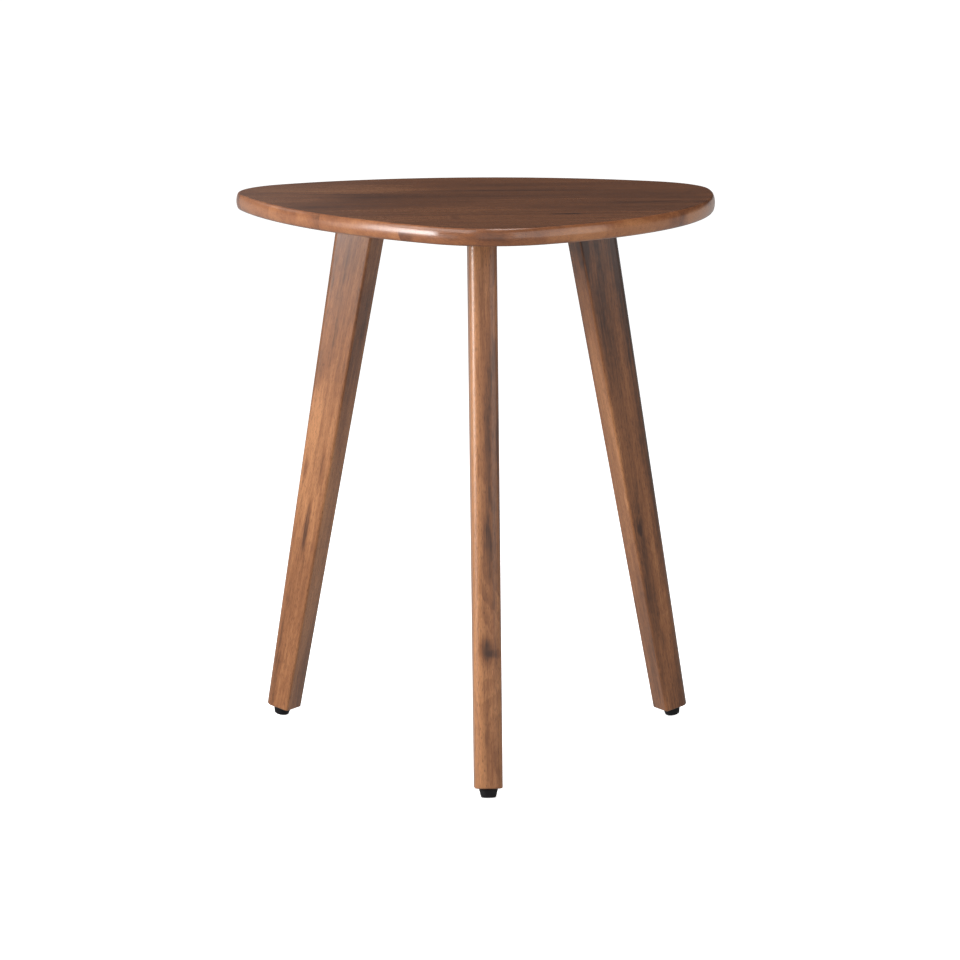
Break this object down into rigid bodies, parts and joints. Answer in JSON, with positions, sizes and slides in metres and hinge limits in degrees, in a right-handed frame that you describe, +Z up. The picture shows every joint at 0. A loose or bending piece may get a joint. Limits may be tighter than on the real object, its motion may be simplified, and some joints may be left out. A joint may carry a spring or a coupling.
{
  "type": "side table",
  "caption": "Low occasional table with a rounded triangular top of glued boards on splayed, tapered wooden legs with screw-in levelling feet",
  "frame": {"origin": "middle of the top's outline, at floor level", "axes": "+Z up; the corner over the front leg points to -Y; +X to the right as seen from the front"},
  "size_m": [0.489, 0.4916, 0.56],
  "materials": {
    "top_wood": "satin",
    "leg_wood": "satin",
    "plate_steel": "satin",
    "zinc_steel": "satin",
    "insert_steel": "satin",
    "black_plastic": "matte"
  },
  "bodies": {
    "frame": {"top_board_1": "top_wood", "top_board_2": "top_wood", "top_board_3": "top_wood", "top_board_4": "top_wood", "top_board_5": "top_wood", "top_board_6": "top_wood", "front_leg": "leg_wood", "front_leg_plate": "plate_steel", "front_plate_bolt_1": "zinc_steel", "front_plate_bolt_2": "zinc_steel", "front_plate_bolt_3": "zinc_steel", "front_plate_bolt_4": "zinc_steel", "front_top_insert_1": "insert_steel", "front_top_insert_2": "insert_steel", "front_top_insert_3": "insert_steel", "front_top_insert_4": "insert_steel", "front_leg_screw_1": "zinc_steel", "front_leg_screw_2": "zinc_steel", "front_foot_insert": "insert_steel", "right_leg": "leg_wood", "right_leg_plate": "plate_steel", "right_plate_bolt_1": "zinc_steel", "right_plate_bolt_2": "zinc_steel", "right_plate_bolt_3": "zinc_steel", "right_plate_bolt_4": "zinc_steel", "right_top_insert_1": "insert_steel", "right_top_insert_2": "insert_steel", "right_top_insert_3": "insert_steel", "right_top_insert_4": "insert_steel", "right_leg_screw_1": "zinc_steel", "right_leg_screw_2": "zinc_steel", "right_foot_insert": "insert_steel", "left_leg": "leg_wood", "left_leg_plate": "plate_steel", "left_plate_bolt_1": "zinc_steel", "left_plate_bolt_2": "zinc_steel", "left_plate_bolt_3": "zinc_steel", "left_plate_bolt_4": "zinc_steel", "left_top_insert_1": "insert_steel", "left_top_insert_2": "insert_steel", "left_top_insert_3": "insert_steel", "left_top_insert_4": "insert_steel", "left_leg_screw_1": "zinc_steel", "left_leg_screw_2": "zinc_steel", "left_foot_insert": "insert_steel"},
    "front_stud": {"front_foot_stud": "zinc_steel"},
    "front_glide": {"front_foot_glide": "black_plastic"},
    "right_stud": {"right_foot_stud": "zinc_steel"},
    "right_glide": {"right_foot_glide": "black_plastic"},
    "left_stud": {"left_foot_stud": "zinc_steel"},
    "left_glide": {"left_foot_glide": "black_plastic"}
  },
  "joints": [
    {"name": "front_foot_rise", "type": "slide", "parent": "frame", "child": "front_stud", "axis": [-0.0027, -0.1925, -0.9813], "range_m": [0, 0.007]},
    {"name": "front_foot_turn", "type": "hinge", "parent": "front_stud", "child": "front_glide", "pos_m": [-0.00934, -0.217, 0.01007], "axis": [-0.0027, -0.1925, -0.9813], "range_deg": [0, 2520]},
    {"name": "right_foot_rise", "type": "slide", "parent": "frame", "child": "right_stud", "axis": [0.1732, 0.0841, -0.9813], "range_m": [0, 0.007]},
    {"name": "right_foot_turn", "type": "hinge", "parent": "right_stud", "child": "right_glide", "pos_m": [0.20872, 0.12594, 0.01007], "axis": [0.1732, 0.0841, -0.9813], "range_deg": [0, 2520]},
    {"name": "left_foot_rise", "type": "slide", "parent": "frame", "child": "left_stud", "axis": [-0.1571, 0.1112, -0.9813], "range_m": [0, 0.007]},
    {"name": "left_foot_turn", "type": "hinge", "parent": "left_stud", "child": "left_glide", "pos_m": [-0.20082, 0.15961, 0.01007], "axis": [-0.1571, 0.1112, -0.9813], "range_deg": [0, 2520]}
  ],
  "couplings": [
    {"joint": "front_foot_turn", "follows": "front_foot_rise", "rad_per_m": 6283.2},
    {"joint": "right_foot_turn", "follows": "right_foot_rise", "rad_per_m": 6283.2},
    {"joint": "left_foot_turn", "follows": "left_foot_rise", "rad_per_m": 6283.2}
  ]
}
